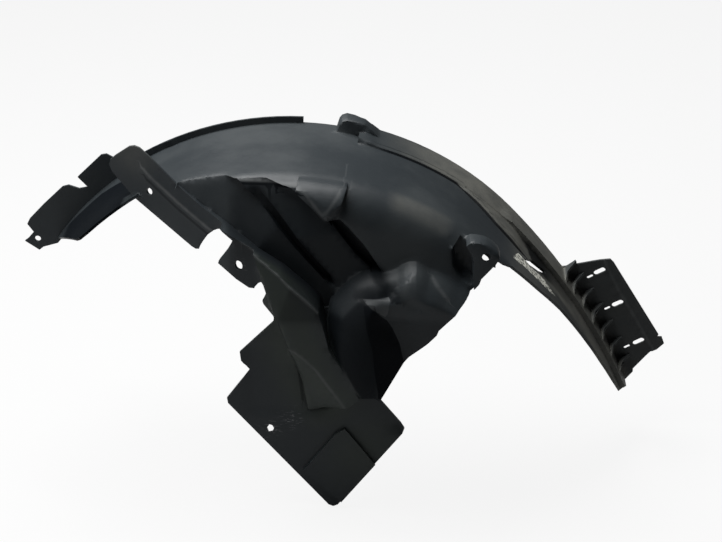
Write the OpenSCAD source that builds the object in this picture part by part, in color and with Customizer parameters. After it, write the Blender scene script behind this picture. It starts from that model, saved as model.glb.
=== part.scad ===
// Wheel arch liner: one thin moulding that wraps a wheel and screws to the body.
// X is along the car, Z is up, and the outboard rim faces +Y.
// The drawing is made about the wheel's axis, then moved so that the main hole is the origin.

/* [Arch] */
// Thickness of the moulded wall
wall = 3; // [2.4:0.1:3.4]
// Outer radius of the arch
arch_r = 333; // [329:1:337]
// Radius of the rounded inboard shoulder
shoulder_r = 38; // [30:1:42]
// How deep the arch is, from the outboard rim to the inboard wall
arch_depth = 188; // [186:0.5:192]
// Height of the low outboard rim over the crown
rim_h = 7; // [4:1:12]
// Height of the raised rail along the right side
rail_h = 6; // [4:0.5:8]
// Width of the raised rail
rail_depth = 45; // [40:1:50]
// Radius of the straighter right arm
arm_r = 680; // [660:5:700]
// Angle where the right arm leaves the arch
arm_from = 46; // [45:0.5:48]
// Depth of the left arm's strip
strip_depth = 112; // [104:1:118]

/* [Inboard wall] */
// Depth of the first panel under the inboard wall
first_step = 12; // [10:0.5:14]
// Depth of the middle panel under the inboard wall
middle_step = 8; // [5:0.5:9]
// Depth of the two grooves under the panels beside them
groove_deep = 11; // [7:0.5:14]
// Height of the round bulge over the inboard wall
bulge_h = 38; // [30:1:42]
// Radius of the round bulge
bulge_r = 96; // [92:1:100]
// Height of the strut over the lower plate
strut_h = 20; // [16:1:22]
// Height of the triangular boss's ridge over the inboard wall
boss_h = 10; // [5:1:11]

/* [Flange and plates] */
// Angle that the front flange is turned to the left
flange_turn = 30; // [28:0.5:32]
// How far the lower plate lies inboard of the arch's wall
plate_out = 12; // [9:1:16]
// Height of the raised pad on the lower plate
pad_h = 4; // [3:0.5:6]
// Thickness of the gusset ribs behind the bracket
rib_t = 2.4; // [2:0.2:3]
// How far the gusset ribs reach from the bracket
rib_deep = 40; // [34:1:44]

/* [Holes] */
// Diameter of the main hole, in the flange's tab
main_d = 10; // [8:0.5:11]
// Diameter of the upper flange hole
upper_d = 8; // [6:0.5:9]
// Diameter of the rear hole
rear_d = 9; // [7:0.5:10]
// Diameter of the left arm's hole
left_d = 7; // [5:0.5:8]
// Length of the bracket's long slots
slot_l = 14; // [11:0.5:16]
// Width of the bracket's long slots
slot_w = 6; // [4:0.5:7]

/* [Hidden] */
$fn = 96;

// Room beyond a cut
over = 60;
// Depth inside the arch where the inboard forms start
from_depth = 60;
// A depth and a radius beyond the whole moulding
beyond = 400;
// Size of a block that holds the whole moulding
block = 1000;
// Shortest overlap that joins two forms
lap = 1.5;

// The main hole, which is the origin, in the drawing about the wheel's axis
main_x = -47;
main_z = 237;
// The front flange's plane meets the inboard wall here
flange_x = -30;
flange_depth = arch_depth;
plate_depth = arch_depth + plate_out;

// Places on the arch: where the right arm starts, at the front flange and at the left arm
arch_end = arch_r * [sin(arm_from), cos(arm_from)];
arch_front = arch_r * [-sin(27), cos(27)];
arch_left = arch_r * [-sin(50), cos(50)];
// Points given from one of these places
function from_place(place, points) = [for (p = points) place + p];

// Outlines seen along the axle, as x and z about the wheel's axis
ridge = [[0, 239], [-30, 259], [-45, 267], [-64, 281], [-87, 294], [-114, 312]];
strut_right = [[81, 102], [67, 131], [50, 158], [44, 184], [42, 201]];
flange_free = [
    arch_front + [-11.8, -12.7], [-100, 245], [-95, 243], [-91, 244], [-88, 248],
    [-80, 261], [-73, 269], [-67, 273], [-64, 270], [-53, 263]
];
tab_free = [
    [-71, 236], [-70, 233], [-50, 220], [-36, 214], [-30, 215], [-22, 224],
    [-18, 212], [-24, 202], [-22, 198], [-9, 186], [-10, 182]
];
plate_free = [
    [-46, 146], [-45, 136], [-36, 125], [-61, 91], [-60, 85], [-6, 23],
    [47, -38], [52, -40], [57, -38], [129, 54], [125, 61], [99, 97]
];
wall_free = from_place(arch_end, [
    [-111.5, -92.3], [-87.5, -67.3], [-77.5, -55.3], [-75.5, -49.3], [-49.5, -19.3],
    [-32.5, -5.3], [-30.5, -2.3], [-30.5, 1.7], [-20, 13.9]
]);
nose = from_place(arch_front, [
    [1.2, -6.7], [-11.8, -12.7], [-30.8, 5.3], [-37.8, 12.3], [-40.8, 19.3], [-38.8, 25.3],
    [-32.8, 31.3], [-15.8, 45.3], [-9.8, 47.3], [-3.8, 46.3], [8.2, 38.3], [37.2, 15.3]
]);
left_rim = from_place(arch_left, [
    [-49.9, -7], [-46.9, -1], [-29.9, 17], [-6.9, 39], [0.1, 41], [12.1, 37], [22.1, 39],
    [11.1, 51], [39.1, 78], [45.1, 79], [54.1, 74], [69.1, 62]
]);
left_tab = from_place(arch_left, [
    [-8.9, -21], [-15.9, -30], [-32.9, -35], [-37.9, -39], [-53.9, -28], [-49.9, -25],
    [-42.9, -17]
]);
left_hole = arch_left + [-38.91, -25.05];
bracket = from_place(arch_end, [
    [65.5, -68.3], [108.5, -59.3], [119.5, -58.3], [123.5, -62.3], [179.5, -152.3],
    [177.5, -155.3], [183.5, -155.3], [186.5, -163.3], [178.5, -171.3], [171.5, -173.3],
    [152.5, -196.3], [152.5, -200.3], [139.5, -216.3]
]);
long_slots = from_place(arch_end, [[108, -73.3], [130.5, -113.3], [157, -161.3]]);
short_slots = from_place(arch_end, [[97.5, -80.3], [119, -119.8], [144, -168.3]]);
slot_tilt = 28;
// Angles of the gusset ribs about the right arm's centre, and their reach over the bracket
gusset_at = [54.2, 55.6, 57.4, 59.2, 61.2, 63.2, 65.2];
gusset_reach = 18;
// Angles where the crown's low rim starts and ends, from the top to the left
crown_rim_at = [-2, 30];
// Angle of the crown's nub
nub_at = 12.7;
nub_deep = 22;
torn_hole = [-15, 55];
torn_edge = [[-4, 1], [-1, 5], [2, 4], [4, 0], [2, -4], [-2, -5]];
// The rim's inner line, just inside the arch wall
left_inner = [for (a = [-26:-4:-54]) [(arch_r - 3) * sin(a), (arch_r - 3) * cos(a)]];
// Where the right arm ends, and how deep it is before its slanted edge is cut
arm_to = 67.2;
arm_depth = arch_depth - 18;
// The bracket's inner line, along the right arm
arm_x = -(arm_r - arch_r) * sin(arm_from);
arm_z = -(arm_r - arch_r) * cos(arm_from);
bracket_outline = concat(
    bracket,
    [for (a = [66.6:-2:53]) [arm_x + (arm_r + rail_h - 2) * sin(a), arm_z + (arm_r + rail_h - 2) * cos(a)]]
);
// The right arm's inboard edge, along the arm and inwards
arm_edge = [
    [-16, arch_depth - 22], [0, arch_depth - 32], [45, arch_depth - 50], [90, arch_depth - 74],
    [135, 99], [180, 83], [215, 65], [238, rail_depth + 2],
    [254, 16], [400, 16], [400, 300], [-16, 300]
];
arm_window = [[22, 98], [38, 76], [62, 62], [65, 67], [50, 86], [34, 98]];
// The left strip's edge: the slanted end, then the inboard side
strip_edge = [
    [-30, -10], [-30, 0], [38, strip_depth + 12], [45, strip_depth + 20], [56, strip_depth + 21],
    [124, strip_depth + 2], [200, strip_depth + 2], [200, 400], [-200, 400], [-200, -10]
];
upper_hole = arch_front + [5.18, -0.71];
// Room round the screws behind the flange
screw_room = 4;
rear_hole = arch_end + [-27.54, 24.68];
pad = [[20, 6], [61, -33], [98, 14], [82, 36], [65, 58], [55, 51]];
first_panel = [
    [-114, 312], [-102, 325], [-48, 328], [-13, 294], [16, 257], [46, 222],
    [60, 190], [42, 190], [0, 239], [-30, 259], [-64, 281], [-87, 294]
];
middle_panel = [
    [-70, 332], [-17, 330], [6, 324], [19, 319], [44, 290], [52, 286],
    [78, 252], [104, 224], [104, 130], [40, 130], [16, 250], [-60, 318]
];
first_groove = [
    [-47, 330], [-38, 334], [-8, 299], [21, 261], [51, 226], [56, 214], [44, 220], [14, 255], [-14, 292]
];
second_groove = [
    [49, 292], [52, 286], [76, 253], [98, 231], [112, 222], [107, 234], [84, 266], [60, 294]
];
boss = [[14, 322], [22, 350], [66, 356], [76, 340], [68, 326], [57, 300], [48, 294]];
boss_ridge = [56, 317];
bulge_at = arch_end + [-102.5, -79.3];
// Where the fold over the bulge's panel starts, and a place on the panel's left edge
bulge_fold = arch_end + [-154.5, -14.3];
bulge_edge = arch_end + [-146.5, -61.3];
rear_pad = from_place(arch_end, [
    [-50.5, 36.7], [-44.5, 41.7], [-33.5, 40.7], [-23.5, 37.7], [-15.5, 31.7], [-11.5, 23.2],
    [-17.5, 14.7], [-15.5, 4.7], [-32.5, -9.3], [-39.5, 8.7], [-43.5, 25.7]
]);
rear_pad_from = arch_depth - 22;
rear_pad_h = 11;
rear_pocket_deep = 24;
rear_pocket = from_place(arch_end, [
    [-62.5, 30.7], [-55.5, 38.7], [-45.5, 42.7], [-37.5, 28.7], [-35.5, 12.7],
    [-29.5, 3.7], [-36.5, -3.3], [-48.5, 4.7], [-59.5, 18.7]
]);
rear_depth = arch_depth + 5;

// Every corner moved inwards by d along both of its edges; the points run anticlockwise
function inset(p, d) = [
    for (i = [0:len(p) - 1])
        let (
            a = p[(i + len(p) - 1) % len(p)],
            b = p[i],
            c = p[(i + 1) % len(p)],
            u = (b - a) / norm(b - a),
            v = (c - b) / norm(c - b),
            m = [-u[1] - v[1], u[0] + v[0]]
        )
        b + d * m / (1 + u * v)
];
function area(p) = [for (i = [0:len(p) - 1]) 1] * [
    for (i = [0:len(p) - 1]) let (a = p[i], b = p[(i + 1) % len(p)]) (a[0] * b[1] - a[1] * b[0]) / 2
];
function back_to_front(p) = [for (i = [len(p) - 1:-1:0]) p[i]];
function anticlockwise(p) = area(p) > 0 ? p : back_to_front(p);
// The flange's depth at a place along X
function flange_at(x) = flange_depth + (x - flange_x) * tan(flange_turn);

// A flat outline drawn along the axle, from one depth to another
module along(points, from, to) {
    translate([0, -from, 0]) rotate([90, 0, 0])
        linear_extrude(height = to - from) polygon(points);
}

// All that lies outboard of a leaning plane; it is depth deep at the given x and z,
// and deeper by along_x for each mm to the right and by down_z for each mm lower
module leaning(at, depth, along_x, down_z, d) {
    slope = norm([along_x, down_z]);
    translate([at[0], -depth, at[1]]) rotate([0, atan2(down_z, along_x), 0])
        rotate([0, 0, -atan(slope)]) translate([-block / 2, d, -block / 2]) cube(block);
}

// All that lies outboard of a vertical plane through x0 at depth0, turned to the left
module behind_plane(x0, depth0, turn, d) {
    translate([x0, -depth0, 0]) rotate([0, 0, -turn])
        translate([-block, d, -block / 2]) cube([2 * block, block, block]);
}

// A turned disc about the wheel's axis, from the outboard rim to the inboard wall
module drum(r, depth, round_r, start) {
    rotate([90, 0, 0]) rotate_extrude() union() {
        translate([0, start]) square([r, depth - round_r - start]);
        square([r - round_r, depth]);
        intersection() {
            translate([r - round_r, depth - round_r]) circle(r = round_r);
            translate([r - round_r - lap, depth - round_r - lap]) square(round_r + 2 * lap);
        }
    }
}

// The solid form of the moulding, drawn smaller by d for the hollow inside
module form(d) {
    // The hollow reaches out past the rim
    form_start = d > 0 ? -over : from_depth;
    difference() {
        drum(arch_r - d, arch_depth - d, shoulder_r - d, d > 0 ? -over : 0);
        // Left of the ridge the wall falls back to the front flange
        difference() {
            along(inset(left_of_ridge, -d), from_depth, beyond);
            behind_plane(flange_x, flange_depth, flange_turn, d);
        }
        // First panel, which leans in at its upper left
        difference() {
            along(inset(anticlockwise(first_panel), -d), from_depth, beyond);
            intersection() {
                leaning(ridge[5], arch_depth - 51, 0.286, 0.244, d);
                along(everywhere, -over, arch_depth - first_step - d);
            }
        }
        // Middle panel, which leans in at its top
        difference() {
            along(inset(anticlockwise(middle_panel), -d), from_depth, beyond);
            intersection() {
                leaning(middle_panel[1], arch_depth - 25, 0.05, 0.25, d);
                along(everywhere, -over, arch_depth - middle_step - d);
            }
        }
        // Pocket beside the rear pad
        along(inset(anticlockwise(rear_pocket), -d), rear_depth - rear_pocket_deep - d, beyond);
        // Grooves beside the panels
        along(inset(anticlockwise(first_groove), -d), arch_depth - first_step - groove_deep - d, beyond);
        along(inset(anticlockwise(second_groove), -d), arch_depth - middle_step - groove_deep - d, beyond);
    }
    // Front flange
    intersection() {
        along(inset(flange_block, d), form_start, plate_depth - d);
        behind_plane(flange_x, flange_depth, flange_turn, d);
        rotate([90, 0, 0]) translate([0, 0, -over])
            cylinder(r = arch_r - d, h = beyond);
    }
    // Lower plate
    along(inset(plate_block, d), form_start, plate_depth - d);
    // Raised rail along the outboard edge, right of the nub
    intersection() {
        drum(arch_r + rail_h - d, rail_depth - d, 4, d > 0 ? -over : 0);
        along(inset(rail_room, d), -2 * over, beyond);
    }
    // Bulge, with a flat panel that leans in below its crest and a slope beside the panel
    intersection() {
        bulge(d);
        along(inset(anticlockwise(bulge_room), d), from_depth, beyond);
        union() {
            leaning(bulge_fold, arch_depth + bulge_h - 3, 0, -0.2, d);
            leaning(bulge_edge, arch_depth + bulge_h, -0.49, 0.075, d);
        }
    }
    strut(d);
    // Triangular boss that fills the shoulder
    intersection() {
        along(inset(anticlockwise(boss), d), from_depth, beyond);
        drum(arch_r - wall / 2 - d, arch_depth + boss_h - d, 30 - d, 0);
        // Its two faces fall away from the ridge
        leaning(boss_ridge, arch_depth + boss_h, 0.267, 0.137, d);
        leaning(boss_ridge, arch_depth + boss_h, -0.533, -0.274, d);
    }
    // Ear of the rear hole, which stands a little above the arch
    intersection() {
        along(inset(anticlockwise(rear_pad), d), rear_pad_from + d, rear_depth - d);
        drum(arch_r + rear_pad_h - d, rear_depth - d, 4 - d, 0);
    }
    // Raised pad on the lower plate
    along(inset(anticlockwise(pad), d), from_depth, plate_depth + pad_h - d);
}

// An outline round the whole moulding
everywhere = beyond * [[-1, -1], [1, -1], [1, 1], [-1, 1]];
// The rail runs from the nub to the end of the arch
rail_room = [
    [0, 0], beyond * [sin(arm_from + 4), cos(arm_from + 4)], [beyond, block], beyond * [sin(nub_at), cos(nub_at)]
];
left_of_ridge = concat(
    ridge, [[-150, 345], [-420, 420], [-420, -200], [0, -200]]
);
flange_block = concat(
    [[20, 221]], ridge, [[-150, 345], [-420, 420], [-420, 150], [20, 150]]
);
plate_block = concat(
    [[0, 239], [-9, 232], [-9, 186], [-420, 186], [-420, -200], [240, -200], [240, 50], [99, 97]],
    strut_right
);
// The bulge keeps to the right of the strut
bulge_room = concat(back_to_front(strut_right), [[96, 105], [420, -40], [420, 420], [42, 420]]);

// Round bulge with a rounded edge, low over the wall on the left
module bulge(d) {
    round_r = bulge_h + 8;
    top = arch_depth + bulge_h;
    translate([bulge_at[0], 0, bulge_at[1]]) rotate([90, 0, 0])
        rotate_extrude() union() {
            translate([0, from_depth]) square([bulge_r - round_r, top - d - from_depth]);
            translate([0, from_depth]) square([bulge_r - d, top - round_r - from_depth]);
            intersection() {
                translate([bulge_r - round_r, top - round_r]) circle(r = round_r - d);
                translate([bulge_r - round_r - lap, top - round_r - lap]) square(round_r + lap);
            }
        }
}

// Strut that ramps down from the flange's ridge to the lower plate
module strut(d) {
    outline = concat([[-30, 259], [-17, 218], [7, 156], [20, 114], [26, 76], [69, 90]], strut_right, [[0, 239]]);
    intersection() {
        along(inset(outline, d), from_depth, plate_depth + strut_h - d);
        // The face rises to the right, away from the left crease
        translate([-28, -plate_depth, 257]) rotate([0, 19.2, 0]) rotate([0, 0, -24])
            translate([-block / 2, d, -block / 2]) cube(block);
        // The foot slopes down to the plate
        translate([26, -plate_depth, 72]) rotate([0, -14, 0]) rotate([-22, 0, 0])
            translate([-block / 2, -block / 2, d]) cube(block);
    }
}

module body_outline() {
    polygon(concat(
        flange_free, tab_free, plate_free, wall_free,
        [(arch_r - 5) * [sin(arm_from), cos(arm_from)]],
        [beyond * [sin(arm_from), cos(arm_from)], [0, block], [-130, block], [-163, 340]]
    ));
}

module body_shell() {
    intersection() {
        difference() {
            form(0);
            form(wall);
        }
        rotate([90, 0, 0]) linear_extrude(height = beyond) body_outline();
    }
}

// The sloping inboard edge of the right arm, which starts at the end of the arch
module arm_slope() {
    cut_at(arm_x, arm_z, arm_r, arm_from, arm_edge);
    // Long window beside the step
    cut_at(arm_x, arm_z, arm_r, arm_from, arm_window);
}

// A bit of arch wall about its own axis, between two angles from the top
module arc_wall(r, depth, from, to) {
    rotate([90, 0, 0]) rotate([0, 0, 90 - to])
        rotate_extrude(angle = to - from) translate([r - wall, 0]) square([wall, depth]);
}

// A cut through the arch, drawn as seen from outside: x runs along the arch and y inboard
module cut_at(x, z, r, angle, points) {
    translate([x, 0, z]) rotate([0, angle, 0]) translate([0, 0, r - over])
        linear_extrude(height = 2 * over) polygon([for (p = points) [p[0], -p[1]]]);
}

// Left arm: a shallow strip of the arch with a wide rim
module left_arm() {
    difference() {
        arc_wall(arch_r - lap, strip_depth + 40, -56, -21);
        cut_at(0, 0, arch_r, -50, strip_edge);
    }
    difference() {
        along(concat(left_rim, [arch_front + [11.2, -6.7]], left_inner, left_tab), 0, wall);
        translate([left_hole[0], 1, left_hole[1]]) rotate([90, 0, 0])
            cylinder(d = left_d, h = wall + 2);
    }
}

// Low rim over the crown
module crown_rim() {
    rotate([90, 0, 0]) rotate([0, 0, 90 + crown_rim_at[0]])
        rotate_extrude(angle = crown_rim_at[1] - crown_rim_at[0])
        translate([arch_r - wall, 0]) square([rim_h + wall, wall]);
}

// Right arm: a strip that leaves the arch along a straighter curve
module right_arm() {
    translate([arm_x, 0, arm_z]) rotate([90, 0, 0]) rotate([0, 0, 90 - arm_to])
        rotate_extrude(angle = arm_to - arm_from) polygon([
            [arm_r + rail_h - wall, 0], [arm_r + rail_h, 0], [arm_r + rail_h, rail_depth],
            [arm_r, rail_depth], [arm_r, arm_depth], [arm_r - wall, arm_depth],
            [arm_r - wall, rail_depth - wall], [arm_r + rail_h - wall, rail_depth - wall]
        ]);
}

// Gusset ribs that tie the bracket to the arm
module gussets() {
    for (a = gusset_at) translate([arm_x, 0, arm_z]) rotate([0, a, 0])
        translate([-rib_t / 2, 0, arm_r + rail_h - lap]) rotate([90, 0, 90])
            linear_extrude(height = rib_t)
                polygon([[0, 0], [-rib_deep, 0], [-rib_deep + 8, 8], [-wall - 4, gusset_reach], [0, gusset_reach]]);
}

// Small locating nub on the crown's rim
module nub() {
    rotate([0, nub_at, 0]) translate([0, 0, arch_r - wall]) rotate([90, 0, 0]) linear_extrude(height = nub_deep)
        polygon([[-25, 0], [-24, 12], [-22, 16], [-17, 19], [4, 19], [25, 7], [25, 3]]);
}

module slot(x, z, length, width) {
    translate([x, 1, z]) rotate([90, 0, 0]) rotate([0, 0, slot_tilt]) linear_extrude(height = wall + 2)
        union() {
            square([length - width, width], center = true);
            for (s = [-1, 1]) translate([s * (length - width) / 2, 0]) circle(d = width);
        }
}

// Bracket plate with its slots and gusset ribs
module bracket_plate() {
    difference() {
        along(bracket_outline, 0, wall);
        for (p = long_slots) slot(p[0], p[1], slot_l, slot_w);
        for (p = short_slots) slot(p[0], p[1], slot_l * 0.55, slot_w * 0.6);
    }
}

// Front flange, a flat plate in its own turned plane
module flange_nose() {
    intersection() {
        along(anticlockwise(nose), from_depth, beyond);
        behind_plane(flange_x, flange_depth, flange_turn, 0);
        flange_slab();
    }
}

// A slab as thick as the wall, in the front flange's plane
module flange_slab() {
    translate([flange_x, -flange_depth, 0]) rotate([0, 0, -flange_turn])
        translate([-block, -lap, -block / 2]) cube([2 * block, wall + lap, block]);
}

module liner() {
    color("dimgray") translate([-main_x, flange_at(main_x), -main_z]) difference() {
        union() {
            body_shell();
            left_arm();
            crown_rim();
            right_arm();
            bracket_plate();
            gussets();
            nub();
            flange_nose();
        }
        arm_slope();
        holes();
    }
}

// A hole through the front flange, with room behind it for its screw
module flange_hole(x, z, d) {
    translate([x, -flange_at(x), z]) rotate([0, 0, -flange_turn]) rotate([90, 0, 0]) {
        translate([0, 0, -wall - 1]) cylinder(d = d, h = over);
        translate([0, 0, -over / 2]) cylinder(d = d + 2 * screw_room, h = over / 2 - wall);
    }
}

module holes() {
    flange_hole(main_x, main_z, main_d);
    flange_hole(upper_hole[0], upper_hole[1], upper_d);
    translate([rear_hole[0], -rear_depth + wall + 2, rear_hole[1]]) rotate([90, 0, 0])
        cylinder(d = rear_d, h = wall + 4);
    translate([torn_hole[0], -plate_depth + wall + 2, torn_hole[1]]) rotate([90, 0, 0])
        linear_extrude(height = wall + 4) polygon(torn_edge);
}

liner();
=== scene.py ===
"""Wheel arch liner: the looks of the moulding, its marks, painted shade and highlights, and a
plain studio around it.
"""
import math

import bmesh
import bpy
import numpy as np
from bpy.props import FloatProperty, FloatVectorProperty, PointerProperty
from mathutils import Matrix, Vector
from mathutils.bvhtree import BVHTree


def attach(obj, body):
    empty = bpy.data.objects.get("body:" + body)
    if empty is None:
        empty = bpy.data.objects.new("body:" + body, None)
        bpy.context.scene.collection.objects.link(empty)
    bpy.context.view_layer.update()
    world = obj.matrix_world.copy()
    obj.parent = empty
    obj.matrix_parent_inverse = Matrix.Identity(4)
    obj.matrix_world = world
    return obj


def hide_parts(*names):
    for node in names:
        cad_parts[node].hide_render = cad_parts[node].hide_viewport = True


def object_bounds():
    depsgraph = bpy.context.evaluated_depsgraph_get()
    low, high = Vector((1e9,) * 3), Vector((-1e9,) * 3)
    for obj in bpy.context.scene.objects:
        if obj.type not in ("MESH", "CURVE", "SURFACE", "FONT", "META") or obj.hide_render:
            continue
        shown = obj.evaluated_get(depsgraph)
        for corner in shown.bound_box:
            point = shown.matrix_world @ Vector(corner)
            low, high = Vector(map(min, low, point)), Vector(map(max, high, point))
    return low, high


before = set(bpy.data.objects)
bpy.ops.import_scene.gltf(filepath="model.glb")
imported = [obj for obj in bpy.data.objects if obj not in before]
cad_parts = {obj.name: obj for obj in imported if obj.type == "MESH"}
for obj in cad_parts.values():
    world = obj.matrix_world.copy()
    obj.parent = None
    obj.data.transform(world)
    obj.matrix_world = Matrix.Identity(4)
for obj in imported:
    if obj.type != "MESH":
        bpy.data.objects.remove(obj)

CAD_BOX = [list(corner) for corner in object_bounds()]

bl_info = {
    "name": "Wheel arch liner",
    "version": (1, 0, 0),
    "blender": (4, 5, 0),
    "location": "3D View > Sidebar > Liner",
    "description": "Builds the finished wheel arch liner and its studio",
    "category": "Object",
}

# The wheel's centre at the outboard rim, in the row's frame, in metres
WHEEL = np.array([0.047, 0.178185, -0.237])

# The solid's own sizes in millimetres: the arch's radius and depth, the depth of the outer
# plates, the wall, the raised rail's depth and height, and the radius of the bulge's foot
ARCH_R = 333.0
ARCH_DEPTH = 188.0
PLATE_DEPTH = 200.0
WALL = 3.0
RAIL_DEPTH = 45.0
RAIL_HEIGHT = 6.0
BULGE_R = 96.0
# The right arm's middle as x and z, and its outer radius
ARM = (-249.6, -241.05, 686.0)
# The bulge's middle
BULGE = (137, 152)
# One degree on the arch
DEGREE = 5.8

# How far the folds are pressed into the sheet, in millimetres
FOLD_DROP, FOLD_REACH = 5.0, 24.0
BAND_DROP = 7.5
FACET_DROP, FACET_REACH = 4.5, 16.0
SECOND_DROP, SECOND_REACH = 3.5, 14.0
STRUT_DROP, STRUT_REACH = 15.0, 26.0
# The rail's tilt at its deep edge, its plateau and the crease along it
RAIL_TILT = 3.6
PLATEAU_RISE = 2.4
CREASE_DROP, CREASE_REACH = 1.0, 3.0
# The share of their height that the gusset ribs lose, above the depth where they start
RIB_LOSS, RIB_START = 0.62, 3.5

# Lines on the moulding, in millimetres about the wheel's axis, as x and z
FLANGE_BEAD = [(-152, 321), (-145, 314), (-111, 290), (-77, 269)]
STRUT_RIDGE = [(11, 158), (21, 150), (36, 135), (48, 117), (66, 91)]
STRUT_LINE = [(-17, 232), (10, 165), (30, 110), (48, 92)]
STRUT_SIDE = [(42, 199), (47, 170), (57, 146), (72, 119), (80, 103)]
LEDGE_LINE = [(-42, 328), (-17, 328), (7, 326), (20, 325), (45, 302), (52, 294), (58, 300),
              (67, 318)]
BOSS_RIDGE = [(64, 328), (56, 317), (46, 303)]
LIP_LINE = [(353, 170), (370, 135), (387, 107), (400, 84), (414, 60)]
FOLD_LINE = [(83, 214), (98, 216), (113, 216), (130, 213), (146, 206)]
FOLD_FOOT = [(83, 214), (98, 204), (110, 189), (128, 193), (146, 204)]
FACET_LINE = [(112, 216), (121, 226), (132, 239)]
BAND_LEFT = [(85, 212), (89, 185), (95, 162), (97, 138), (101, 112)]
BAND_RIGHT = [(98, 205), (110, 192), (116, 180), (123, 162), (127, 143), (130, 130)]
SECOND_FOLD = [(157, 234), (164, 226), (173, 216)]
RIDGE_LINE = [(-114, 312), (-87, 294), (-64, 281), (-45, 267), (-30, 259), (0, 239),
              (42, 201), (44, 184), (50, 158), (67, 131), (81, 102)]
GROOVE_LINES = ([(-42, 331), (-11, 296), (17, 259), (50, 222)], [(50, 290), (78, 256), (108, 226)])
SMEAR_LINE = [(122, 306), (143, 296), (166, 283)]
# The small facet below the bulge's fold, which gets a painted highlight, closed
FACET = [(85, 215), (113, 217), (110, 196), (85, 215)]

# Places on the moulding, the same way
TORN_HOLE = (-15, 55)
SCRATCHES = (8, 66)
MAIN_HOLE = (-47, 237)
NOSE_SPOT = (-164, 342)
GREEN_PAD = (88, 30)

# How far the bulge's foot reaches, at angles from the top, to the right
BULGE_FOOT = [(-70, 96), (-62, 100), (-50, 98), (-40, 98), (-30, 96.5), (-21, 89), (-11, 89.5),
              (-5, 96), (1, 98), (11, 90), (20, 89), (35, 86.5), (46, 88), (62, 96)]

# Depths at angles from the top of the arch, to the right: the deep edge of the raised rail,
# the start of the painted shade on the left arm's panel, both edges of the strip with a flaked
# painted highlight, and the deep edge of the painted shade between the rail and that strip
RAIL_EDGE = [(15, 45), (33, 45), (37.5, 60), (42.6, 79), (48.3, 87), (51, 88)]
PANEL_EDGE = [(-52, 13), (-44.7, 21.7), (-40.2, 22.1), (-35, 32.6), (-25, 52)]
STRIP_UPPER = [(47, 120), (48.6, 98), (52, 100), (56.5, 91), (59, 100)]
STRIP_LOWER = [(47, 127), (50.8, 119), (55, 113), (59, 105)]
SHADE_EDGE = [(49, 52), (51.4, 58), (52.4, 76), (53.5, 85), (55.3, 90), (59.4, 80), (63, 76),
              (67, 72)]

# Folds that the mesh gets edges along: the line and the least depth
CUT_LINES = [
    (FOLD_LINE, 180), (FOLD_FOOT, 180), (FACET_LINE, 180), (BAND_LEFT, 180), (BAND_RIGHT, 180),
    (SECOND_FOLD, 180), (STRUT_RIDGE, 190)]
# How far from the rail's edge the mesh gets edges along it
RAIL_CUTS = (0, -5, -3, 3)
# Folds that stay crisp: the line, how far the crispness reaches and the least depth
CRISP_LINES = [
    (LEDGE_LINE, 13, 150), (BOSS_RIDGE, 10, 110), (FOLD_LINE, 10, 180), (FACET_LINE, 7, 180),
    (STRUT_RIDGE, 8, 190), (RIDGE_LINE, 14, 100), (BAND_LEFT, 8, 180), (BAND_RIGHT, 8, 180),
    (GROOVE_LINES[0], 14, 120), (GROOVE_LINES[1], 14, 120)]
# Painted highlights along crests and edges, and painted shade along creases and ledges,
# besides one seam: the line, its strength and the depths between which it lies
LIGHT_LINES = [
    (STRUT_RIDGE, 0.45, 205, 230), ([(-43, 267), (-1, 240), (42, 200)], 0.5, 180, 225),
    ([(-42, 327), (-15, 327), (3, 326), (20, 326)], 1.0, 150, 190),
    ([(23, 324), (40, 304), (49, 296)], 0.35, 150, 210),
    ([(45, 303), (56, 317), (59, 321)], 0.4, 112, 210),
    ([(68, 318), (58, 299)], 0.35, 150, 210), (FLANGE_BEAD, 0.8, 90, 200),
    (LIP_LINE, 0.55, 0, 20), (SECOND_FOLD, 0.4, 180, 230)]
# The first dark line is a seam; the others are painted shade along creases and ledges
DARK_LINES = [
    ([(-14, 318), (-13, 300), (-11, 291)], 0.7, 150, 200),
    ([(-42, 323.5), (-15, 323.5), (3, 322), (17, 322)], 0.8, 150, 190),
    ([(-149, 310), (-115, 285), (-81, 264)], 0.5, 90, 200),
    ([(-19, 226), (-13, 222), (-6, 195), (1, 174), (6, 159), (16, 130), (20, 92)],
     0.5, 190, 230)]

# Working of the mesh, in metres: how far from a line its cuts reach, how close corners are
# merged, how far behind a face the sheet's other side may be, and how narrow a cut edge is
CUT_REACH = 0.007
MERGE = 3e-4
SHEET_REACH = 0.0047
EDGE_WIDTH = 0.0048
# Edges that turn by more than this part two patches, or are shaded sharp
PATCH_TURN = math.radians(38)
SHARP_TURN = math.radians(42)
# The rounding stops after so many rounds, or once it moves no corner by more than this
ROUNDS = 220
SETTLED = 1e-6

# Sizes of the noises in the plastic
CLOUD_SCALE = 9.0
RIPPLE_SCALE = 26.0
MOTTLE_SCALE = 45.0
STREAK_SCALE = 130.0
FLAKE_SCALE = 230.0
SPECK_SCALE = 420.0
GRAIN_SCALE = 1300.0

# The studio, in metres: places and sizes of the lamps, and the camera
KEY_PLACE, KEY_SIZE = (-0.4, 0.35, 1.5), (1.6, 1.2)
FILL_PLACE, FILL_SIZE = (-1.5, -0.9, 0.7), (1.0, 1.0)
CAMERA_PLACE = (0.1957, -1.9196, 0.8504)
CAMERA_TURN = (math.radians(66), 0.0, math.radians(2))
CAMERA_LENS = 100.0
FLOOR_HALF = 30.0
FLOOR_GAP = 0.0005
# How much of the floor the camera sees as plain white
FLOOR_WHITE = 0.88


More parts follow.
